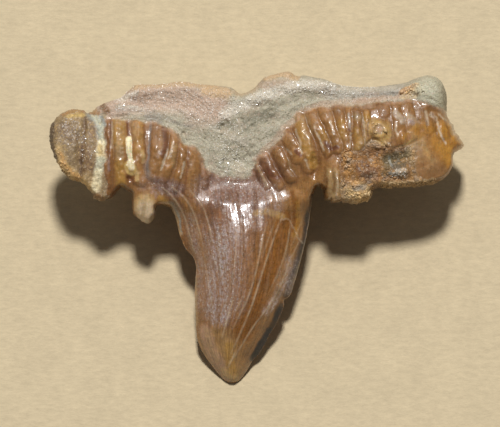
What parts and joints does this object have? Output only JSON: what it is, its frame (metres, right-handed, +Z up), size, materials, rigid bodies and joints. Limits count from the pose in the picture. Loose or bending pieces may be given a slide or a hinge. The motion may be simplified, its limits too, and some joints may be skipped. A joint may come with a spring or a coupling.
{
  "type": "fossil shark tooth",
  "caption": "Fossil shark tooth lying on its back: a striated amber-brown cusp hanging from folded heels, with a grey-green root in a V between them.",
  "frame": {"origin": "on the surface that the tooth lies on, under the middle of its bounding box", "axes": "+X along the two heels, to the right of the face that shows; -Y towards the cusp tip; +Z up from the surface. The face leans back 20 degrees from level"},
  "size_m": [0.01, 0.0072, 0.0032],
  "materials": {
    "tooth": "glossy amber-brown mineralised enamel on the crown, dull grey-green to pink porous root, broken rusty ends"
  },
  "bodies": {
    "root": {"tooth": "tooth"}
  },
  "joints": []
}
